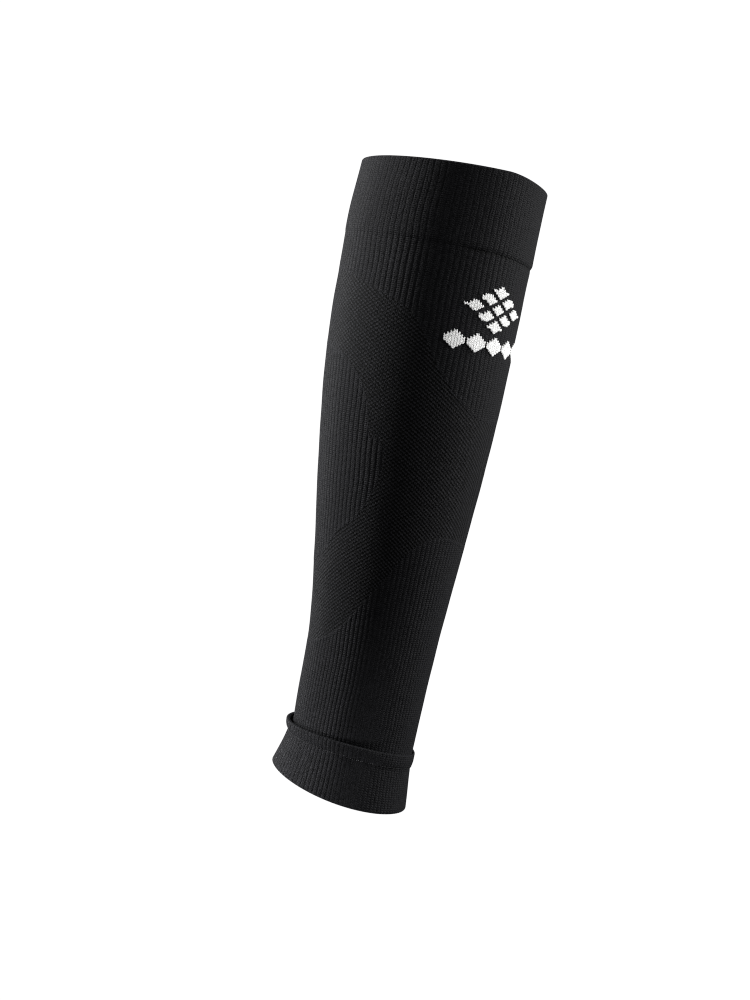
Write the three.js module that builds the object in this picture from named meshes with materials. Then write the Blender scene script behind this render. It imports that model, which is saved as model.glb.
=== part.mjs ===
// A footless calf sleeve, knitted in ribbed elastic yarn, in the round shape that a leg gives it.
// Millimetres. +Z runs up the leg, +X points to the shin and -Y to the outer side of the leg.
// The origin is on the leg's axis at the ankle opening.
import * as THREE from "three";

// Driving dimensions
const LENGTH = 342; // ankle opening to top edge, along the leg
const CALF_DEPTH = 101.6; // front to back at the fullest calf
const CALF_WIDTH = 95; // side to side there
const ANKLE_DEPTH = 67.6; // front to back above the cuff
const ANKLE_WIDTH = 61;
const KNIT_WALL = 1.3; // single knit of the leg tube, over its ribs
const RIBS = 96; // round the leg
const RIB_DEPTH = 0.25;

const BAND_HEIGHT = 42; // doubled band at the top
const BAND_WALL = 2.2;
const BAND_FRONT = 0.7; // how far the band stands off the leg at the shin
const BAND_BACK = 0.3; // and at the calf
const SHIN_DROP = 5; // how far the top edge lies lower at the shin
const SHIN_DROP_TURN = 57; // degrees from the shin where that starts
const SHIN_DROP_FROM = 225; // and the height where it starts

const CUFF_HEIGHT = 29.5; // rolled edge included
const CUFF_WALL = 2.2;
const NECK_FRONT = 0.6; // how far the sewn line under the roll stands off the ankle
const NECK_BACK = 2.4;
const ROLL_FRONT = 1.7; // the rolled edge, likewise
const ROLL_BACK = 4.1;
const ROLL_GAP = 1.5; // how far the rolled edge gapes at the calf
const ROLL_GAP_DEPTH = 4;
const FLARE_FRONT = 2.4; // the bottom edge, likewise
const FLARE_BACK = 8.2;

const TUCK = 9; // how far each end of the leg tube goes into the band and the cuff
const TUCK_DRAW = 1.0; // how far the sewing draws a tucked end in
const EDGE_DRAW = 0.7; // how far it draws the leg tube in at the band's edge
const EDGE_RUN = 2; // over this height
const TUCK_GAP = 0.25;
const FOLD_ROUND = 0.6; // rounding of a folded edge
const FOLD_RISE = 1.0; // height over which it rounds
const SHIN = 0.06; // how much narrower the front of a section is than its back

const BAND_EDGE = LENGTH - BAND_HEIGHT;
const OUTER_SIDES = 2 * RIBS;
const INNER_SIDES = RIBS / 2;
const OUTER_STEPS = 10; // rings up the leg tube
const INNER_STEPS = 4;

// The leg, from the ankle opening up. height is a share of LENGTH; depth and width go from the ankle's
// size, 0, to the calf's, 1; forward is a share of CALF_DEPTH; slant is the rise towards the shin; sag
// is how far a ring's two sides lie lower than its shin and calf, a share of LENGTH.
const LEG = [
  { height: 0.0, depth: 0.0, width: 0.0, forward: 0.032, slant: -0.17, sag: 0.0055 },
  { height: 0.066, depth: 0.0, width: 0.0, forward: 0.032, slant: -0.13, sag: -0.0045 },
  { height: 0.088, depth: 0.025, width: 0.01, forward: 0.03, slant: -0.093, sag: -0.005 },
  { height: 0.25, depth: 0.12, width: 0.13, forward: 0.037, slant: -0.02, sag: 0.0 },
  { height: 0.38, depth: 0.37, width: 0.4, forward: 0.028, slant: 0.0, sag: 0.0 },
  { height: 0.51, depth: 0.653, width: 0.69, forward: 0.014, slant: 0.0, sag: 0.0 },
  { height: 0.64, depth: 0.885, width: 0.92, forward: 0.0, slant: 0.0, sag: 0.0 },
  { height: 0.76, depth: 0.987, width: 1.0, forward: -0.009, slant: 0.0, sag: 0.0 },
  { height: 0.85, depth: 1.004, width: 0.99, forward: -0.007, slant: 0.005, sag: 0.0 },
  { height: 0.89, depth: 1.022, width: 0.985, forward: -0.007, slant: 0.01, sag: 0.0 },
  { height: 1.0, depth: 0.973, width: 0.935, forward: 0.008, slant: 0.045, sag: 0.0 },
];

// The cuff, from its bottom edge up. height is a share of CUFF_HEIGHT; flare goes from the sewn
// line, 0, to the bottom edge, 1; roll goes from the sewn line, 0, to the fullest of the roll, 1.
const CUFF = [
  { height: 0.0, flare: 1.0, roll: 0.0 },
  { height: 0.2, flare: 0.72, roll: 0.0 },
  { height: 0.5, flare: 0.29, roll: 0.0 },
  { height: 0.76, flare: 0.0, roll: 0.0 },
  { height: 0.83, flare: 0.0, roll: 0.85 },
  { height: 0.93, flare: 0.0, roll: 1.0 },
  { height: 1.0, flare: 0.0, roll: 0.5 },
];

// Edges of the knit zones round the leg, the same on both sides: turn is the angle from the shin in
// degrees, height a share of LENGTH. An open mesh lies between MESH_TOP and MESH_FOOT, round a ribbed
// calf panel that lies between PANEL_TOP and PANEL_FOOT. Ribs fill the rest.
const MESH_TOP = [
  { turn: 0, height: 0.626 },
  { turn: 46, height: 0.631 },
  { turn: 74, height: 0.683 },
  { turn: 98, height: 0.767 },
  { turn: 120, height: 0.79 },
  { turn: 150, height: 0.813 },
  { turn: 180, height: 0.82 },
];
const MESH_FOOT = [
  { turn: 0, height: 0.422 },
  { turn: 68, height: 0.42 },
  { turn: 98, height: 0.33 },
  { turn: 123, height: 0.265 },
  { turn: 150, height: 0.235 },
  { turn: 180, height: 0.226 },
];
const PANEL_TOP = [
  { turn: 102, height: 0.54 },
  { turn: 104.5, height: 0.563 },
  { turn: 109, height: 0.571 },
  { turn: 114, height: 0.576 },
  { turn: 118, height: 0.622 },
  { turn: 122, height: 0.646 },
  { turn: 134, height: 0.677 },
  { turn: 180, height: 0.709 },
];
const PANEL_FOOT = [
  { turn: 102, height: 0.54 },
  { turn: 106, height: 0.495 },
  { turn: 132, height: 0.417 },
  { turn: 151, height: 0.376 },
  { turn: 180, height: 0.353 },
];

// A column of a table at a place along it, on a smooth curve through the rows.
function along(rows, key, place, column) {
  const last = rows.length - 1;
  const at = Math.min(Math.max(place, rows[0][key]), rows[last][key]);
  const above = Math.max(1, rows.findIndex((row) => row[key] >= at));
  const [a, b] = [rows[above - 1], rows[above]];
  const slope = (low, high) => (high[column] - low[column]) / (high[key] - low[key]);
  const own = slope(a, b);
  // A tangent is the mean of the slopes beside it, and level at a crest.
  const tangent = (beside) => (beside * own <= 0 ? 0 : (beside + own) / 2);
  const span = b[key] - a[key];
  const start = tangent(above > 1 ? slope(rows[above - 2], a) : own) * span;
  const end = tangent(above < last ? slope(b, rows[above + 1]) : own) * span;
  const t = (at - a[key]) / span;
  return (
    (2 * t ** 3 - 3 * t ** 2 + 1) * a[column] +
    (t ** 3 - 2 * t ** 2 + t) * start +
    (-2 * t ** 3 + 3 * t ** 2) * b[column] +
    (t ** 3 - t ** 2) * end
  );
}

// The section of the leg at a height in millimetres.
function legAt(height) {
  const share = height / LENGTH;
  return {
    height,
    depth: THREE.MathUtils.lerp(ANKLE_DEPTH, CALF_DEPTH, along(LEG, "height", share, "depth")),
    width: THREE.MathUtils.lerp(ANKLE_WIDTH, CALF_WIDTH, along(LEG, "height", share, "width")),
    forward: CALF_DEPTH * along(LEG, "height", share, "forward"),
    slant: along(LEG, "height", share, "slant"),
    sag: LENGTH * along(LEG, "height", share, "sag"),
  };
}

// Degrees from the shin, 0 to 180, the same on both sides.
function turnOf(angle) {
  return THREE.MathUtils.radToDeg(Math.acos(Math.min(Math.max(Math.cos(angle), -1), 1)));
}

function isMesh(angle, height) {
  const turn = turnOf(angle);
  const share = height / LENGTH;
  const edge = (rows) => along(rows, "turn", turn, "height");
  const inMesh = share < edge(MESH_TOP) && share > edge(MESH_FOOT);
  const inPanel = turn > PANEL_TOP[0].turn && share < edge(PANEL_TOP) && share > edge(PANEL_FOOT);
  return inMesh && !inPanel;
}

// How far the knit lies under the tops of its ribs on a column of the outer surface.
function ribRelief(column, angle, height) {
  if (isMesh(angle, height)) return RIB_DEPTH / 2;
  return column % 2 ? RIB_DEPTH : 0;
}

// How far the band's edges, and less and less of the tube below them, lie lower at the shin.
function shinDrop(angle, height) {
  const start = Math.cos(THREE.MathUtils.degToRad(SHIN_DROP_TURN));
  const turn = Math.max(0, (Math.cos(angle) - start) / (1 - start));
  const up = Math.max(0, (height - SHIN_DROP_FROM) / (LENGTH - SHIN_DROP_FROM));
  return SHIN_DROP * turn ** 1.6 * up ** 1.4;
}

// One ring of points round the leg. stand(angle) is how far it lies outside the leg's section.
function ring(height, sides, stand, relief = () => 0) {
  const leg = legAt(height);
  return Array.from({ length: sides }, (_, column) => {
    const angle = (2 * Math.PI * column) / sides;
    const off = stand(angle) - relief(column, angle, height);
    const narrowing = 1 - SHIN * Math.cos(angle);
    const x = leg.forward + (leg.depth / 2 + off) * Math.cos(angle);
    const y = (leg.width / 2 + off) * Math.sin(angle) * narrowing;
    const lower = leg.sag * Math.sin(angle) ** 2 + shinDrop(angle, height);
    return new THREE.Vector3(x, y, height + leg.slant * (x - leg.forward) - lower);
  });
}

// The faces between a ring and the one above it. One of them has a whole number of sides, one or
// more, for each side of the other. A ring is the numbers of its points.
function strip(lower, upper) {
  const upsideDown = lower.length > upper.length;
  const [few, many] = upsideDown ? [upper, lower] : [lower, upper];
  const each = many.length / few.length;
  const half = Math.floor(each / 2);
  const index = [];
  const face = (...corners) => index.push(...(upsideDown ? corners.reverse() : corners));
  for (let side = 0; side < few.length; side++) {
    const ends = [few[side], few[(side + 1) % few.length]];
    face(...ends, many[side * each + half]);
    for (let step = 0; step < each; step++) {
      const column = side * each + step;
      face(ends[step < half ? 0 : 1], many[(column + 1) % many.length], many[column]);
    }
  }
  return index;
}

// A hollow wall from its outer rings, foot to top, and its inner rings, top to foot.
function wall(outer, inner) {
  const rings = [...outer, ...inner];
  let count = 0;
  const numbers = rings.map((points) => points.map(() => count++));
  const index = numbers.flatMap((lower, which) => strip(lower, numbers[(which + 1) % numbers.length]));
  const geometry = new THREE.BufferGeometry();
  geometry.setFromPoints(rings.flat());
  geometry.setIndex(index);
  geometry.computeVertexNormals();
  return geometry;
}

const outerRing = (height, stand) => ring(height, OUTER_SIDES, stand, ribRelief);
const plainRing = (height, stand) => ring(height, OUTER_SIDES, stand);
const innerRing = (height, stand) => ring(height, INNER_SIDES, stand);

// A stand that goes from one value at the calf side to another at the shin.
const between = (back, front) => (angle) => THREE.MathUtils.lerp(back, front, (1 + Math.cos(angle)) / 2);
const inset = (stand, by) => (angle) => stand(angle) - by;

// Heights at even steps, both ends included.
function spread(from, to, steps) {
  return Array.from({ length: steps + 1 }, (_, step) => THREE.MathUtils.lerp(from, to, step / steps));
}

// The leg tube's ends lie TUCK inside the band and the cuff, drawn in by TUCK_DRAW.
function legTube() {
  const foot = CUFF_HEIGHT - TUCK;
  const top = BAND_EDGE + TUCK;
  const shown = spread(CUFF_HEIGHT, BAND_EDGE - EDGE_RUN, OUTER_STEPS);
  const outer = [
    plainRing(foot, () => -TUCK_DRAW),
    ...shown.map((height) => outerRing(height, () => 0)),
    plainRing(BAND_EDGE, () => -EDGE_DRAW),
    plainRing(top, () => -TUCK_DRAW),
  ];
  const inner = [
    innerRing(top, () => -TUCK_DRAW - KNIT_WALL),
    innerRing(BAND_EDGE, () => -EDGE_DRAW - KNIT_WALL),
    ...spread(BAND_EDGE - EDGE_RUN, CUFF_HEIGHT, INNER_STEPS).map((height) => {
      return innerRing(height, () => -KNIT_WALL);
    }),
    innerRing(foot, () => -TUCK_DRAW - KNIT_WALL),
  ];
  return wall(outer, inner);
}

// The band is doubled knit, folded at its top edge, with a rebate that takes the leg tube's end.
function topBand() {
  const shelf = BAND_EDGE + TUCK + TUCK_GAP;
  const out = between(BAND_BACK, BAND_FRONT);
  const inside = inset(out, BAND_WALL);
  const outer = [
    outerRing(BAND_EDGE, out),
    outerRing((BAND_EDGE + LENGTH) / 2, out),
    outerRing(LENGTH - FOLD_RISE, out),
    outerRing(LENGTH, inset(out, FOLD_ROUND)),
  ];
  const inner = [
    innerRing(LENGTH, inset(out, BAND_WALL - FOLD_ROUND)),
    innerRing(LENGTH - FOLD_RISE, inside),
    innerRing(shelf, inside),
    innerRing(shelf, () => TUCK_GAP - TUCK_DRAW),
    innerRing(BAND_EDGE, () => TUCK_GAP - EDGE_DRAW),
  ];
  return wall(outer, inner);
}

// How far the cuff stands off the ankle at one of its rows.
function cuffStand(row) {
  const back = NECK_BACK + row.flare * (FLARE_BACK - NECK_BACK) + row.roll * (ROLL_BACK - NECK_BACK);
  const front = NECK_FRONT + row.flare * (FLARE_FRONT - NECK_FRONT) + row.roll * (ROLL_FRONT - NECK_FRONT);
  return between(back, front);
}

// The cuff is doubled knit, folded at its bottom edge and rolled at its top edge, sewn over the leg
// tube's lower end.
function ankleCuff() {
  const shelf = CUFF_HEIGHT - TUCK - TUCK_GAP;
  const rim = cuffStand(CUFF[0]);
  const outer = [
    outerRing(0, inset(rim, FOLD_ROUND)),
    outerRing(FOLD_RISE, rim),
    ...CUFF.slice(1).map((row) => outerRing(row.height * CUFF_HEIGHT, cuffStand(row))),
  ];
  const middle = CUFF[1];
  const inner = [
    innerRing(CUFF_HEIGHT, between(ROLL_GAP, TUCK_GAP)),
    innerRing(CUFF_HEIGHT - ROLL_GAP_DEPTH, () => TUCK_GAP),
    innerRing(shelf, () => TUCK_GAP - TUCK_DRAW),
    innerRing(shelf, () => -TUCK_DRAW - KNIT_WALL),
    innerRing(middle.height * CUFF_HEIGHT, inset(cuffStand(middle), CUFF_WALL)),
    innerRing(FOLD_RISE, inset(rim, CUFF_WALL)),
    innerRing(0, inset(rim, CUFF_WALL - FOLD_ROUND)),
  ];
  return wall(outer, inner);
}

const blackKnit = () => new THREE.MeshStandardMaterial({ color: 0x1b1b1d, roughness: 0.85, metalness: 0 });

const sleeve = new THREE.Group();
const pieces = { leg_tube: legTube(), top_band: topBand(), ankle_cuff: ankleCuff() };
for (const [name, geometry] of Object.entries(pieces)) {
  const mesh = new THREE.Mesh(geometry, blackKnit());
  mesh.name = name;
  sleeve.add(mesh);
}

export default sleeve;
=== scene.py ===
"""The looks of a footless calf sleeve: black ribbed and mesh knit, a doubled top band, a rolled ankle
cuff with its sewn line, and a white knitted motif. Everything is in metres, in the part's own frame."""
import math

import bpy
import numpy as np
from mathutils import Matrix, Vector


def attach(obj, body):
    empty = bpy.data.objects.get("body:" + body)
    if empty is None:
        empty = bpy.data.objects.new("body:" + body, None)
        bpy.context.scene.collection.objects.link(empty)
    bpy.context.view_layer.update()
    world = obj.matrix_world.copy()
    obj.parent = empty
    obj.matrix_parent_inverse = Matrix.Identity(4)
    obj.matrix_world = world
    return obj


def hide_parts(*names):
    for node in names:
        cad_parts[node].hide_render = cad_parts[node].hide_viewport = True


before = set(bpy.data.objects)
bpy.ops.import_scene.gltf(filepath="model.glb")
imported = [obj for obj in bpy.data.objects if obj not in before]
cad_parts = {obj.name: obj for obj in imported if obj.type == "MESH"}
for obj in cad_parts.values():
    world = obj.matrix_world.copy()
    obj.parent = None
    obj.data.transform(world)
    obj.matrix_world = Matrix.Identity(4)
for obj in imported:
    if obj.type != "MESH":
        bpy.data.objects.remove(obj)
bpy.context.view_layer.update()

MM = 0.001

# Sizes of the part
LENGTH = 342 * MM
CALF_DEPTH = 101.6 * MM
CALF_WIDTH = 95 * MM
ANKLE_DEPTH = 67.6 * MM
ANKLE_WIDTH = 61 * MM
KNIT_WALL = 1.3 * MM
RIBS = 96
RIB_DEPTH = 0.25 * MM
BAND_HEIGHT = 42 * MM
BAND_WALL = 2.2 * MM
BAND_FRONT, BAND_BACK = 0.7 * MM, 0.3 * MM
SHIN_DROP = 5 * MM
SHIN_DROP_TURN = math.radians(57)
SHIN_DROP_FROM = 225 * MM
CUFF_HEIGHT = 29.5 * MM
CUFF_WALL = 2.2 * MM
NECK_FRONT, NECK_BACK = 0.6 * MM, 2.4 * MM
ROLL_FRONT, ROLL_BACK = 1.7 * MM, 4.1 * MM
ROLL_GAP = 1.5 * MM
ROLL_GAP_DEPTH = 4 * MM
FLARE_FRONT, FLARE_BACK = 2.4 * MM, 8.2 * MM
TUCK = 9 * MM
TUCK_DRAW = 1.0 * MM
TUCK_GAP = 0.25 * MM
EDGE_DRAW = 0.7 * MM
EDGE_RUN = 2 * MM
SHIN = 0.06
BAND_EDGE = LENGTH - BAND_HEIGHT
NECK, CREST = 0.75 * CUFF_HEIGHT, 0.97 * CUFF_HEIGHT  # heights of the sewn line and the roll's top

# Sizes that only show here
COURSE = 1.065 * MM  # one row of stitches
RIB_PLACES = (0.0, 0.1, 0.27, 0.5, 0.73, 0.9)  # columns of vertices across a rib, from its groove
RIB_SWAY = 0.13  # how far a rib wanders, as a share of a rib
BAND_RELIEF = 0.2 * MM  # how deep the grooves between the band's ribs are
RIB_PARTING = 0.65  # how deep the second groove, down the middle of its ribs, is, as a share of that
FRONT_STRETCH = 0.3  # how much flatter the stretched ribs round the shin are
MESH_SINK = 0.45  # how deep the mesh lies, as a share of the ribs' depth
UNEVEN = 0.12 * MM  # how far the cloth swells and sinks
GROOVE_SHADE = 0.18  # how much painted shade darkens the grooves between ribs
CREASE_SHADE = 0.6  # how much painted shade darkens the creases at the band and the roll
CREASE_DIP = 0.22 * MM  # how deep the crease under the band is pressed in
LEG_RISE = 0.45  # how far a stitch's legs rise from the middle of a rib to its groove, in courses
KNIT_BUMP = 0.26 * MM  # how high the stitches stand
YARN_BUMP = 0.12 * MM  # how high the fibres of a plain yarn stand
THREAD_RADIUS = 0.16 * MM
WHITE_YARN_RADIUS = 0.4 * MM
FOLD_STEPS = 7  # steps in the half turn of a folded edge
BLACK = (0.0058, 0.0058, 0.0066)

# The leg, as in the part: height is a share of LENGTH, depth and width go from 0 at the ankle's size
# to 1 at the calf's, forward is a share of CALF_DEPTH, slant is the rise towards the shin, and sag is
# how far a ring's sides lie lower than its shin and calf, a share of LENGTH.
LEG_COLUMNS = ("height", "depth", "width", "forward", "slant", "sag")
LEG = (
    (0.0, 0.0, 0.0, 0.032, -0.17, 0.0055),
    (0.066, 0.0, 0.0, 0.032, -0.13, -0.0045),
    (0.088, 0.025, 0.01, 0.03, -0.093, -0.005),
    (0.25, 0.12, 0.13, 0.037, -0.02, 0.0),
    (0.38, 0.37, 0.4, 0.028, 0.0, 0.0),
    (0.51, 0.653, 0.69, 0.014, 0.0, 0.0),
    (0.64, 0.885, 0.92, 0.0, 0.0, 0.0),
    (0.76, 0.987, 1.0, -0.009, 0.0, 0.0),
    (0.85, 1.004, 0.99, -0.007, 0.005, 0.0),
    (0.89, 1.022, 0.985, -0.007, 0.01, 0.0),
    (1.0, 0.973, 0.935, 0.008, 0.045, 0.0),
)

# The cuff, as in the part: height is a share of CUFF_HEIGHT.
CUFF_COLUMNS = ("height", "flare", "roll")
CUFF = (
    (0.0, 1.0, 0.0),
    (0.2, 0.72, 0.0),
    (0.5, 0.29, 0.0),
    (0.72, 0.04, 0.0),
    (0.76, 0.0, 0.04),
    (0.8, 0.0, 0.62),
    (0.86, 0.0, 0.93),
    (0.92, 0.0, 1.0),
    (0.97, 0.0, 0.95),
)

# Edges of the knit zones, as in the part: turn is in degrees from the shin, height a share of LENGTH.
EDGE_COLUMNS = ("turn", "height")
MESH_TOP = ((0, 0.626), (46, 0.631), (74, 0.683), (98, 0.767), (120, 0.79), (150, 0.813), (180, 0.82))
MESH_FOOT = ((0, 0.422), (68, 0.42), (98, 0.33), (123, 0.265), (150, 0.235), (180, 0.226))
PANEL_TOP = (
    (102, 0.54),
    (104.5, 0.563),
    (109, 0.571),
    (114, 0.576),
    (118, 0.622),
    (122, 0.646),
    (134, 0.677),
    (180, 0.709),
)
PANEL_FOOT = ((102, 0.54), (106, 0.495), (132, 0.417), (151, 0.376), (180, 0.353))
PANEL_SIDE = 102.0
TWILL_TURN = 0.5  # share of LENGTH where the mesh changes the way it leans, at the calf


def along(columns, rows, column, place):
    """A column of a table at places along its first one, on a smooth curve through the rows."""
    table = np.array(rows, float)
    x, y = table[:, 0], table[:, columns.index(column)]
    slope = np.diff(y) / np.diff(x)
    inner = np.where(slope[:-1] * slope[1:] <= 0, 0.0, (slope[:-1] + slope[1:]) / 2)
    tangent = np.concatenate([slope[:1], inner, slope[-1:]])
    at = np.clip(place, x[0], x[-1])
    row = np.clip(np.searchsorted(x, at) - 1, 0, len(x) - 2)
    span = x[row + 1] - x[row]
    t = (at - x[row]) / span
    return (
        (2 * t**3 - 3 * t**2 + 1) * y[row]
        + (t**3 - 2 * t**2 + t) * span * tangent[row]
        + (3 * t**2 - 2 * t**3) * y[row + 1]
        + (t**3 - t**2) * span * tangent[row + 1]
    )


def shin_drop(angle, height):
    """How far the band's edges, and less and less of the tube below them, lie lower at the shin."""
    start = math.cos(SHIN_DROP_TURN)
    turn = np.clip((np.cos(angle) - start) / (1 - start), 0, None)
    up = np.clip((height - SHIN_DROP_FROM) / (LENGTH - SHIN_DROP_FROM), 0, None)
    return SHIN_DROP * turn**1.6 * up**1.4


def skin(angle, height, stand):
    """Points at an angle round the leg and a height up it, standing that far off the leg's section."""
    share = height / LENGTH
    leg = {name: along(LEG_COLUMNS, LEG, name, share) for name in LEG_COLUMNS[1:]}
    depth = ANKLE_DEPTH + leg["depth"] * (CALF_DEPTH - ANKLE_DEPTH)
    width = ANKLE_WIDTH + leg["width"] * (CALF_WIDTH - ANKLE_WIDTH)
    out = (depth / 2 + stand) * np.cos(angle)
    side = (width / 2 + stand) * np.sin(angle) * (1 - SHIN * np.cos(angle))
    x = CALF_DEPTH * leg["forward"] + out
    lower = LENGTH * leg["sag"] * np.sin(angle) ** 2 + shin_drop(angle, height)
    return np.stack(np.broadcast_arrays(x, side, height + leg["slant"] * out - lower), axis=-1)


def smooth_step(low, high, value):
    """0 at low, 1 at high and smooth in between. low may be the larger one."""
    t = np.clip((value - low) / (high - low), 0, 1)
    return t * t * (3 - 2 * t)


def sway(angle, height, start=0.0):
    """A slow unevenness of the cloth, between -1 and 1."""
    waves = ((2, 70, 0.4), (3, -110, 1.9), (5, 190, 4.1), (9, -260, 2.2))
    return sum(np.sin(n * angle + up * height + at + start) for n, up, at in waves) / len(waves)


def turn_from_shin(angle):
    """An angle round the leg in degrees from the shin, 0 to 180 on either side."""
    return np.degrees(np.arccos(np.clip(np.cos(angle), -1, 1)))


def mesh_depth(angle, height):
    """How far inside the open mesh a point is, in millimetres up the leg, below 0 in the ribs."""
    turn = turn_from_shin(angle)
    share = height / LENGTH
    edge = lambda rows: along(EDGE_COLUMNS, rows, "height", turn)
    in_mesh = np.minimum(edge(MESH_TOP) - share, share - edge(MESH_FOOT))
    in_panel = np.minimum(edge(PANEL_TOP) - share, share - edge(PANEL_FOOT))
    in_panel = np.where(turn > PANEL_SIDE, in_panel, -np.abs(in_panel))
    return np.minimum(in_mesh, -in_panel) * LENGTH / MM


def twill(angle, height):
    """Which way the mesh leans, and how much: 1 one way, -1 the other, less at the calf."""
    turn = turn_from_shin(angle)
    low_calf = smooth_step(PANEL_SIDE - 6, PANEL_SIDE + 2, turn)
    low_calf = low_calf * smooth_step(TWILL_TURN + 0.01, TWILL_TURN - 0.01, height / LENGTH)
    strength = 1 - 0.7 * smooth_step(70, 100, turn)
    return strength * (1 - 2 * low_calf) * np.where(np.sin(angle) < 0, 1.0, -1.0)


def new_object(name, mesh, material, node=None):
    """Puts a finished mesh in the scene as a piece of the sleeve."""
    mesh.polygons.foreach_set("use_smooth", [True] * len(mesh.polygons))
    mesh.materials.append(material)
    piece = bpy.data.objects.new(name, mesh)
    bpy.context.collection.objects.link(piece)
    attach(piece, "root")
    if node:
        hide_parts(node)
    return piece


def ring_angles():
    """The angle of each column of a wall."""
    return ((np.arange(RIBS)[:, None] + np.array(RIB_PLACES) - 0.5) * 2 * math.pi / RIBS).ravel()


def rib_profile(parting):
    """How high each column of a wall stands, 0 in the grooves between ribs and 1 on the ribs. parting is
    the depth of a second groove down the middle of each rib."""
    middle = 1 - 2 * np.abs(np.array(RIB_PLACES) - 0.5)
    round_ = (np.sqrt(1 - (1 - middle) ** 2) + (1 - np.cos(math.pi * middle)) / 2) / 2
    return np.tile(round_ - parting * smooth_step(0.6, 1.0, middle), RIBS)


def knitted_wall(name, rings, material, node, relief=RIB_DEPTH, parting=0.0):
    """A closed wall of knit from a list of rings. A ring is (height, stand, share, crease): stand is a
    length, share how much of the ribs' relief it shows, and crease how much painted shade darkens it.
    Stand and crease may have one value for each column, and crease may be left out."""
    straight = ring_angles()[None, :]
    stretch = smooth_step(110, 60, turn_from_shin(straight))
    ridge = 1 - (1 - rib_profile(parting)) * (1 - FRONT_STRETCH * stretch)
    columns = straight.shape[1]
    height = np.array([ring[0] for ring in rings])[:, None]
    share = np.array([ring[2] for ring in rings])[:, None]
    angle = straight + RIB_SWAY * sway(straight, height) * 2 * math.pi / RIBS
    stand = np.array([np.broadcast_to(ring[1], columns) for ring in rings])
    depth = mesh_depth(angle, height + 0 * angle)
    ribbed = 1 - smooth_step(-0.8, 0.8, depth)
    sunk = relief * (ribbed * (1 - ridge) + MESH_SINK * (1 - ribbed))
    stand = stand - share * sunk + UNEVEN * share * sway(straight, height, 2.0)
    points = skin(angle, height, stand)

    count = len(rings)
    number = np.arange(count * columns).reshape(count, columns)
    right = np.roll(number, -1, axis=1)
    up, up_right = np.roll(number, -1, axis=0), np.roll(right, -1, axis=0)
    faces = np.stack([number, right, up_right, up], axis=-1).reshape(-1, 4)
    mesh = bpy.data.meshes.new(name)
    mesh.from_pydata(points.reshape(-1, 3).tolist(), [], faces.tolist())

    rib = straight[0] * RIBS / (2 * math.pi)
    u = np.append(rib, rib[0] + RIBS)
    v = np.append(height[:, 0], height[0, 0]) / COURSE
    corners = np.stack(
        [
            np.stack(np.broadcast_arrays(u[None, i : i + columns], v[j : j + count, None]), axis=-1)
            for i, j in ((0, 0), (1, 0), (1, 1), (0, 1))
        ],
        axis=2,
    )
    mesh.uv_layers.new(name="knit").uv.foreach_set("vector", corners.ravel())
    # Painted shade: the grooves between ribs and the creases are darkened in the colour, through the
    # third value of zones
    crease = np.array([np.broadcast_to(ring[3] if len(ring) > 3 else 0.0, columns) for ring in rings])
    groove = (1 - ridge) * ribbed * share * GROOVE_SHADE
    zones = np.stack(
        np.broadcast_arrays(depth, twill(angle, height), np.maximum(groove, crease)), axis=-1
    )
    mesh.attributes.new("zones", "FLOAT_VECTOR", "POINT").data.foreach_set("vector", zones.ravel())
    return new_object(name, mesh, material, node)


def strands(name, centres, outward, radii, sides, material):
    """Short lengths of yarn as one mesh. centres is (strands, points, 3) and outward points away from
    the cloth; radii is one radius for each point."""
    tangent = np.gradient(centres, axis=1)
    tangent /= np.linalg.norm(tangent, axis=-1, keepdims=True)
    outward = outward - (outward * tangent).sum(-1, keepdims=True) * tangent
    outward /= np.linalg.norm(outward, axis=-1, keepdims=True)
    side = np.cross(tangent, outward)
    round_ = np.linspace(0, 2 * math.pi, sides, endpoint=False)
    spokes = (
        np.cos(round_)[:, None] * side[:, :, None] + np.sin(round_)[:, None] * outward[:, :, None]
    )
    points = centres[:, :, None] + np.array(radii)[None, :, None, None] * spokes
    count, length = centres.shape[:2]
    number = np.arange(count * length * sides).reshape(count, length, sides)
    beside = np.roll(number, -1, axis=2)
    near, far = slice(None, -1), slice(1, None)
    quads = np.stack([number[:, near], number[:, far], beside[:, far], beside[:, near]], axis=-1)
    faces = quads.reshape(-1, 4).tolist()
    faces += number[:, 0].tolist() + number[:, -1, ::-1].tolist()
    mesh = bpy.data.meshes.new(name)
    mesh.from_pydata(points.reshape(-1, 3).tolist(), [], faces)
    return new_object(name, mesh, material)


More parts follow.
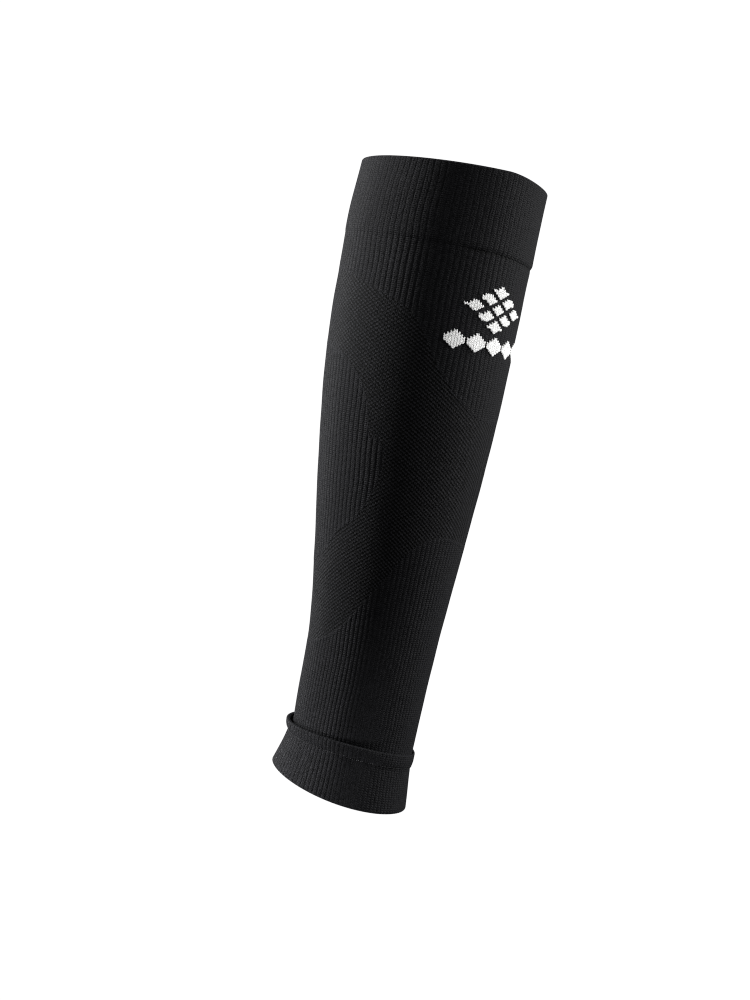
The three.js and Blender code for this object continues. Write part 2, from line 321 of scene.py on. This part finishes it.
class Graph:
    """A material's node tree, with short calls for the nodes that it needs."""

    def __init__(self, name):
        self.material = bpy.data.materials.new(name)
        self.material.use_nodes = True
        self.tree = self.material.node_tree
        self.shader = self.tree.nodes["Principled BSDF"]

    def node(self, kind, **settings):
        node = self.tree.nodes.new(kind)
        for name, value in settings.items():
            setattr(node, name, value)
        return node

    def put(self, socket, value):
        if isinstance(value, bpy.types.NodeSocket):
            self.tree.links.new(value, socket)
        else:
            socket.default_value = value

    def math(self, operation, *values):
        node = self.node("ShaderNodeMath", operation=operation)
        for socket, value in zip(node.inputs, values):
            self.put(socket, value)
        return node.outputs[0]

    def add(self, a, b):
        return self.math("ADD", a, b)

    def times(self, a, b):
        return self.math("MULTIPLY", a, b)

    def wave(self, turns):
        """A cosine of a number of turns."""
        return self.math("COSINE", self.times(turns, 2 * math.pi))

    def step(self, low, high, value):
        """0 at low, 1 at high and smooth in between."""
        node = self.node("ShaderNodeMapRange", interpolation_type="SMOOTHSTEP")
        self.put(node.inputs["From Min"], low)
        self.put(node.inputs["From Max"], high)
        self.put(node.inputs["Value"], value)
        return node.outputs["Result"]

    def blend(self, share, a, b):
        """a where share is 0, b where it is 1."""
        node = self.node("ShaderNodeMix", data_type="FLOAT")
        self.put(node.inputs[0], share)
        self.put(node.inputs[2], a)
        self.put(node.inputs[3], b)
        return node.outputs[0]

    def split(self, vector):
        node = self.node("ShaderNodeSeparateXYZ")
        self.put(node.inputs[0], vector)
        return node.outputs

    def scatter(self, across, up):
        """A random number from 0 to 1 for each cell."""
        place = self.node("ShaderNodeCombineXYZ")
        self.put(place.inputs[0], across)
        self.put(place.inputs[1], up)
        node = self.node("ShaderNodeTexWhiteNoise", noise_dimensions="2D")
        self.put(node.inputs["Vector"], place.outputs[0])
        return node.outputs["Value"]

    def noise(self, size, detail=2.0):
        """Noise whose lumps are about that size, in metres."""
        place = self.node("ShaderNodeTexCoord").outputs["Object"]
        node = self.node("ShaderNodeTexNoise")
        self.put(node.inputs["Vector"], place)
        self.put(node.inputs["Scale"], 1 / size)
        self.put(node.inputs["Detail"], detail)
        return node.outputs[0]

    def bump(self, height, distance):
        """Sets the normal from a height, where a height of 1 is that distance."""
        node = self.node("ShaderNodeBump")
        self.put(node.inputs["Height"], height)
        self.put(node.inputs["Distance"], distance)
        self.put(self.shader.inputs["Normal"], node.outputs[0])

    def shade(self, colour, brightness):
        """Sets the base colour: a colour times a brightness that varies over the surface."""
        node = self.node("ShaderNodeVectorMath", operation="SCALE")
        self.put(node.inputs[0], colour)
        self.put(node.inputs["Scale"], brightness)
        self.put(self.shader.inputs["Base Color"], node.outputs[0])


def black_knit(name, colour):
    """Black yarn, with V stitches on the ribs and a leaning lattice of small holes in the mesh."""
    g = Graph(name)
    u, v, _ = g.split(g.node("ShaderNodeUVMap", uv_map="knit").outputs[0])
    depth, lean, groove = g.split(g.node("ShaderNodeAttribute", attribute_name="zones").outputs["Vector"])

    # The ribs: each stitch's two legs climb from the ridge to the grooves, with a parting between them
    from_ridge = g.times(g.math("ABSOLUTE", g.math("WRAP", u, 0.5, -0.5)), 2.0)
    climb = g.add(v, g.times(from_ridge, LEG_RISE))
    leg = g.math("ABSOLUTE", g.math("SINE", g.times(climb, math.pi)))
    on_ridge = g.math("SUBTRACT", 1.0, g.step(0.6, 1.0, from_ridge))
    parting = g.step(0.0, 0.2, from_ridge)
    yarns = g.times(g.math("POWER", leg, 0.7), g.blend(on_ridge, 0.65, 1.0))
    rib = g.times(yarns, g.blend(parting, 0.75, 1.0))

    # The mesh: stitches half as wide, with holes between two sets of diagonals, one set stronger
    half_wale = g.times(g.math("ABSOLUTE", g.math("WRAP", g.times(u, 2.0), 0.5, -0.5)), 2.0)
    small_climb = g.add(v, g.times(half_wale, LEG_RISE))
    small_leg = g.math("ABSOLUTE", g.math("SINE", g.times(small_climb, math.pi)))
    falling = g.wave(g.add(u, g.times(v, 0.5)))
    rising = g.wave(g.math("SUBTRACT", u, g.times(v, 0.5)))
    share = g.add(0.5, g.times(lean, 0.14))
    lattice = g.add(g.times(falling, share), g.times(rising, g.math("SUBTRACT", 1.0, share)))
    hole = g.step(-0.35, 0.15, lattice)
    wale = g.step(0.7, 1.0, half_wale)
    mesh = g.times(g.blend(hole, 1.08, 0.0), g.blend(small_leg, 0.6, 1.0))

    # The relief, with a bead of yarn just outside the mesh's edge
    is_mesh = g.step(-0.35, 0.35, depth)
    fibres = g.noise(0.16 * MM, 3.0)
    stitch = g.scatter(g.math("FLOOR", g.times(u, 4.0)), g.math("FLOOR", climb))
    rough = g.add(g.times(fibres, 0.2), g.times(g.noise(0.9 * MM, 1.0), 1.3))
    border = g.math("SUBTRACT", g.step(-2.2, -1.4, depth), g.step(-0.6, 0.2, depth))
    knit = g.add(g.blend(is_mesh, rib, mesh), g.times(border, 0.4))
    height = g.add(knit, g.add(rough, g.times(stitch, 0.3)))
    g.bump(height, KNIT_BUMP)

    # The colour: painted shade darkens the holes, the wale lines, the grooves and the creases, the mesh
    # is painted brighter and the bead at its edge gets a painted highlight, and the tone is uneven from
    # stitch to stitch
    mesh_shadow = g.math("MAXIMUM", g.times(hole, 0.95), g.times(wale, 0.35))
    shadow = g.blend(is_mesh, groove, mesh_shadow)
    uneven = g.add(0.55, g.add(g.times(g.noise(2.2 * MM, 4.0), 0.25), g.times(stitch, 0.65)))
    # Painted light: the mesh's colour is 1.65 times brighter, making up for the painted shade of its
    # holes, and the bead at the mesh's edge gets a painted highlight
    painted_light = g.add(g.blend(is_mesh, 1.0, 1.65), g.times(border, 0.12))
    g.shade(colour, g.times(g.times(g.math("SUBTRACT", 1.0, shadow), painted_light), uneven))
    g.put(g.shader.inputs["Roughness"], g.add(0.6, g.times(fibres, 0.3)))
    g.put(g.shader.inputs["Specular IOR Level"], 0.054)
    g.put(g.shader.inputs["Sheen Weight"], 0.0155)
    g.put(g.shader.inputs["Sheen Roughness"], 0.35)
    g.put(g.shader.inputs["Sheen Tint"], (0.86, 0.88, 1.0, 1.0))
    return g.material


def yarn(name, colour, ply, sheen):
    """Plain twisted yarn. ply is the size of its fibres."""
    g = Graph(name)
    fibres = g.noise(ply, 3.0)
    g.bump(fibres, YARN_BUMP)
    g.shade(colour, g.add(0.85, g.times(g.noise(0.9 * MM), 0.3)))
    g.put(g.shader.inputs["Roughness"], 0.8)
    g.put(g.shader.inputs["Specular IOR Level"], 0.7 * sheen)
    g.put(g.shader.inputs["Sheen Weight"], sheen)
    return g.material


def lengths(low, high, step):
    """Even steps of about that length, both ends included."""
    return np.linspace(low, high, max(2, round(abs(high - low) / step) + 1))


def between(back, front):
    """A stand for each column, from one value at the calf side to another at the shin."""
    return back + (front - back) * (1 + np.cos(ring_angles())) / 2


def band_crease():
    """How much painted shade darkens the crease at the band's lower edge, and at what stand it lies, for
    each column.
    """
    turn = turn_from_shin(ring_angles())
    return CREASE_SHADE * smooth_step(85, 65, turn), -CREASE_DIP * smooth_step(95, 65, turn)


def leg_tube(material):
    """The tube, up its outer face, over its top end, down the inside and back at its foot."""
    foot, top = CUFF_HEIGHT - TUCK, BAND_EDGE + TUCK
    # Painted shade for the creases: at the band's lower edge, and where the tube meets the roll,
    # strongest from 85 degrees round to the calf
    band_crease_shade, edge_dip = band_crease()
    roll_crease_shade = CREASE_SHADE * smooth_step(60, 85, turn_from_shin(ring_angles()))
    rings = [
        (foot, -TUCK_DRAW, 0.0, roll_crease_shade),
        (CUFF_HEIGHT - 3 * MM, -0.3 * MM, 0.5, roll_crease_shade),
        (CUFF_HEIGHT - 0.6 * MM, 0.0, 1.0, roll_crease_shade),
        (CUFF_HEIGHT + 0.3 * MM, 0.0, 1.0, roll_crease_shade * 0.4),
    ]
    for height in lengths(CUFF_HEIGHT + 1.2 * MM, BAND_EDGE - EDGE_RUN, 1.95 * MM):
        rings.append((height, 0.0, 1.0))
    rings += [
        (BAND_EDGE - EDGE_RUN * 0.7, edge_dip / 8, 1.0, band_crease_shade * 0.25),
        (BAND_EDGE - EDGE_RUN * 0.35, edge_dip / 2, 1.0, band_crease_shade * 0.9),
        (BAND_EDGE + 0.1 * MM, edge_dip, 1.0, band_crease_shade),
        (BAND_EDGE + 0.4 * MM, edge_dip - 0.05 * MM, 1.0, band_crease_shade),
        (BAND_EDGE + 1.2 * MM, -EDGE_DRAW, 1.0, band_crease_shade),
        (top, -TUCK_DRAW, 0.0),
        (top, -TUCK_DRAW - KNIT_WALL, 0.0),
        (BAND_EDGE, -EDGE_DRAW - KNIT_WALL, 0.0),
    ]
    for height in lengths(BAND_EDGE - EDGE_RUN, CUFF_HEIGHT, 17 * MM):
        rings.append((height, -KNIT_WALL, 0.0))
    rings.append((foot, -TUCK_DRAW - KNIT_WALL, 0.0))
    return knitted_wall("leg_tube_knit", rings, material, "leg_tube")


def fold(height, stand, across, rise):
    """A rounded edge: half a turn from the outer face to the inner one, up or down by rise."""
    for step in range(1, FOLD_STEPS):
        a = math.pi * step / FOLD_STEPS
        yield height + rise * math.sin(a), stand - across * (1 - math.cos(a)) / 2


def top_band(material):
    """The band, up its outer face, over the fold at the top and down to the shelf on the tube's end."""
    out = between(BAND_BACK, BAND_FRONT)
    inside = out - BAND_WALL
    shelf = BAND_EDGE + TUCK + TUCK_GAP
    round_ = BAND_WALL / 2
    band_crease_shade, edge_dip = band_crease()
    low = edge_dip - 0.04 * MM
    # The lowest rings carry the crease's painted shade, fading up the band
    rings = [
        (BAND_EDGE - 0.14 * MM, low - 0.02 * MM, 1.0, band_crease_shade),
        (BAND_EDGE - 0.08 * MM, low, 1.0, band_crease_shade),
        (BAND_EDGE + 0.5 * MM, low + 0.3 * (out - low), 1.0, band_crease_shade * 0.9),
        (BAND_EDGE + 1.2 * MM, low + 0.65 * (out - low), 1.0, band_crease_shade * 0.5),
        (BAND_EDGE + 1.9 * MM, low + 0.9 * (out - low), 1.0, band_crease_shade * 0.15),
    ]
    for height in lengths(BAND_EDGE + 2.8 * MM, LENGTH - round_, 1.9 * MM):
        rings.append((height, out, 1.0))
    for step, (height, stand) in enumerate(fold(LENGTH - round_, out, BAND_WALL, round_)):
        rings.append((height, stand, max(0.0, 1 - step / 3)))
    for height in lengths(LENGTH - round_, shelf, 6 * MM):
        rings.append((height, inside, 0.0))
    rings += [
        (shelf, TUCK_GAP - TUCK_DRAW, 0.0),
        (BAND_EDGE + 0.3 * MM, TUCK_GAP - EDGE_DRAW, 0.0),
    ]
    relief, parting = BAND_RELIEF, RIB_PARTING
    return knitted_wall("top_band_knit", rings, material, "top_band", relief, parting)


def cuff_stand(angle, share):
    """How far the cuff's outer face stands off the leg's section, at a share of its height."""
    flare = along(CUFF_COLUMNS, CUFF, "flare", share)
    roll = along(CUFF_COLUMNS, CUFF, "roll", share)
    back = NECK_BACK + flare * (FLARE_BACK - NECK_BACK) + roll * (ROLL_BACK - NECK_BACK)
    front = NECK_FRONT + flare * (FLARE_FRONT - NECK_FRONT) + roll * (ROLL_FRONT - NECK_FRONT)
    return back + (front - back) * (1 + np.cos(angle)) / 2


def ankle_cuff(material):
    """The cuff, up its outer face, over the roll, down into the gap, round the tube's foot and back."""
    at = lambda height: cuff_stand(ring_angles(), height / CUFF_HEIGHT)
    shelf = CUFF_HEIGHT - TUCK - TUCK_GAP
    round_ = CUFF_WALL / 2
    rings = []
    for height in lengths(round_, NECK, 1.5 * MM):
        rings.append((height, at(height), 1.0))
    wobble = 0.3 * MM * sway(ring_angles(), 0.0, 4.0)
    for height in lengths(NECK + 0.4 * MM, CREST, 0.5 * MM):
        rings.append((height, at(height) + wobble * smooth_step(NECK, CREST, height), 0.8))
    gap = between(ROLL_GAP, TUCK_GAP)
    lip = at(CREST) + wobble
    for step, (height, stand) in enumerate(fold(CREST, lip, lip - gap, CUFF_HEIGHT - CREST)):
        rings.append((height, stand, max(0.0, 0.7 - step / 5)))
    # Painted shade down in the gap between the roll and the tube
    rings += [
        (CREST - 0.5 * MM, gap, 0.0, CREASE_SHADE / 2),
        (CUFF_HEIGHT - ROLL_GAP_DEPTH, TUCK_GAP, 0.0, CREASE_SHADE),
        (shelf, TUCK_GAP - TUCK_DRAW, 0.0),
        (shelf, -TUCK_DRAW - KNIT_WALL, 0.0),
    ]
    for height in lengths(0.45 * CUFF_HEIGHT, round_, 3 * MM):
        rings.append((height, at(height) - CUFF_WALL, 0.0))
    bottom = list(fold(round_, at(round_), CUFF_WALL, -round_))[::-1]
    for step, (height, stand) in enumerate(bottom):
        rings.append((height, stand, min(1.0, max(0.0, (step - 2) / 3))))
    return knitted_wall("ankle_cuff_knit", rings, material, "ankle_cuff")


def outward_at(angle, height, stand):
    """The direction off the cloth at a point."""
    return skin(angle, height, stand + MM) - skin(angle, height, stand)


def roll_stitching(material):
    """The row of sewn thread that holds the roll down."""
    stitches, points = 2 * RIBS, 5
    start = np.arange(stitches)[:, None] * 2 * math.pi / stitches
    run = np.linspace(0.08, 0.92, points)[None, :] * 2 * math.pi / stitches
    angle = start + run
    height = NECK + 0.4 * MM * (1 + np.cos(angle))
    arch = np.sin(np.linspace(0, math.pi, points))[None, :]
    stand = cuff_stand(angle, height / CUFF_HEIGHT) - 0.1 * MM + 0.22 * MM * arch
    radii = THREAD_RADIUS * np.array([0.5, 0.9, 1.0, 0.9, 0.5])
    centres = skin(angle, height, stand)
    outward = outward_at(angle, height, stand)
    return strands("roll_stitching", centres, outward, radii, 6, material)


# The motif: a lozenge of nine lozenges over a row of small ones, charted in wales and courses
WALE = math.pi / RIBS  # half a rib
MOTIF_ANGLE = math.radians(-44)
MOTIF_HEIGHT = 272.5 * MM
LOZENGE_WALES = 13.0  # half its width
LOZENGE_COURSES = 11.8  # half its height
LOZENGE_GAP = 0.13  # half the black gap between the nine, as a share of half the lozenge
ROW_ANGLE = math.radians(-41)
ROW_HEIGHT = 253.4 * MM
ROW_COUNT = 5
ROW_WALES = 3.9  # half the width of each
ROW_COURSES = 4.4  # half its height
ROW_REPEAT = 8  # wales from one to the next


def within(half):
    """The whole numbers from minus a half size to plus it, rounded up."""
    return range(-math.ceil(half), math.ceil(half) + 1)


def lozenge_cells():
    """(wale, course) of each white stitch of the lozenge, from its middle."""
    for wale in within(LOZENGE_WALES):
        for course in within(LOZENGE_COURSES):
            p = wale / LOZENGE_WALES + course / LOZENGE_COURSES
            q = wale / LOZENGE_WALES - course / LOZENGE_COURSES
            gap = min(abs(abs(p) - 1 / 3), abs(abs(q) - 1 / 3))
            if max(abs(p), abs(q)) <= 1 and gap > LOZENGE_GAP:
                yield wale, course


def row_cells():
    """The same for the row of small lozenges."""
    for number in range(ROW_COUNT):
        middle = (number - (ROW_COUNT - 1) / 2) * ROW_REPEAT
        for wale in within(ROW_WALES):
            for course in within(ROW_COURSES):
                if abs(wale) / ROW_WALES + abs(course) / ROW_COURSES <= 1:
                    yield middle + wale, course


def motif(name, cells, angle, height, material):
    """White V stitches, one for each cell."""
    cells = np.array(list(cells), float)
    across = np.array([0.07, 0.2, 0.34, 0.43, 0.45])  # a leg's path, in wales
    up = np.array([-0.62, -0.3, 0.05, 0.4, 0.7])  # in courses
    lift = np.array([0.0, 0.26, 0.34, 0.22, -0.05]) * MM
    around = np.concatenate([angle + (cells[:, :1] + side * across) * WALE for side in (-1, 1)])
    high = np.tile(height + (cells[:, 1:] + up) * COURSE, (2, 1))
    stand = np.broadcast_to(lift, high.shape)
    radii = WHITE_YARN_RADIUS * np.array([0.6, 0.95, 1.0, 0.95, 0.6])
    centres = skin(around, high, stand)
    return strands(name, centres, outward_at(around, high, stand), radii, 8, material)


def area_light(name, place, target, size, power, spread=180):
    """A panel that the camera doesn't see, turned to its target. spread is in degrees."""
    data = bpy.data.lights.new(name, "AREA")
    data.shape = "RECTANGLE"
    data.size, data.size_y = size
    data.energy = power
    data.spread = math.radians(spread)
    light = bpy.data.objects.new(name, data)
    light.location = place
    light.rotation_euler = (Vector(target) - Vector(place)).to_track_quat("-Z", "Y").to_euler()
    light.visible_camera = False
    bpy.context.collection.objects.link(light)


def studio():
    """A softbox on each side, a rim light behind the calf, two weak fills and a plain white ground."""
    middle = (0, 0, LENGTH / 2)
    area_light("left_softbox", (-1.06, 0.02, 0.5), middle, (0.3, 1.2), 53)
    area_light("left_rim", (-0.8, 0.75, 0.25), middle, (0.3, 1.3), 8)
    area_light("right_softbox", (1.08, 0.19, 0.62), middle, (0.8, 1.0), 34)
    area_light("front_fill", (0.0, -1.4, 0.6), middle, (0.8, 0.8), 10)
    area_light("low_fill", (-0.31, -0.22, -0.14), (0.0, -0.03, -0.01), (0.14, 0.08), 0.118, 25)

    world = bpy.data.worlds.new("white_studio")
    bpy.context.scene.world = world
    world.use_nodes = True
    world.node_tree.nodes["Background"].inputs[0].default_value = (1, 1, 1, 1)
    world.node_tree.nodes["Background"].inputs[1].default_value = 1.05
    world.cycles_visibility.diffuse = False
    world.cycles_visibility.glossy = False


def camera():
    """The photograph's view: level with the upper calf, a little down, with the leg leaning right."""
    data = bpy.data.cameras.new("camera")
    data.sensor_width = 36
    data.lens = 57.6
    data.clip_start = 0.05
    pitch, lean = math.radians(4.77), math.radians(10.7)
    right = Vector((1, 0, 0))
    up = Vector((0, math.sin(pitch), math.cos(pitch)))
    back = Vector((0, -math.cos(pitch), math.sin(pitch)))
    turned_right = math.cos(lean) * right + math.sin(lean) * up
    turned_up = math.cos(lean) * up - math.sin(lean) * right
    matrix = Matrix((turned_right, turned_up, back)).transposed().to_4x4()
    matrix.translation = (-9.07 * MM, -874 * MM, 232.99 * MM)
    view = bpy.data.objects.new("camera", data)
    view.matrix_world = matrix
    bpy.context.collection.objects.link(view)
    bpy.context.scene.camera = view


camera()
studio()
bpy.context.scene.view_settings.view_transform = "Standard"
bpy.context.scene.cycles.filter_width = 1.15
KNIT = black_knit("black_knit", BLACK)
RIB = black_knit("black_rib", BLACK)
THREAD = yarn("black_thread", (0.011, 0.011, 0.012), 0.1 * MM, 0.09)
WHITE = yarn("white_yarn", (0.9, 0.9, 0.89), 0.12 * MM, 0.35)
leg_tube(KNIT)
top_band(RIB)
ankle_cuff(RIB)
roll_stitching(THREAD)
motif("motif_lozenge", lozenge_cells(), MOTIF_ANGLE, MOTIF_HEIGHT, WHITE)
motif("motif_row", row_cells(), ROW_ANGLE, ROW_HEIGHT, WHITE)
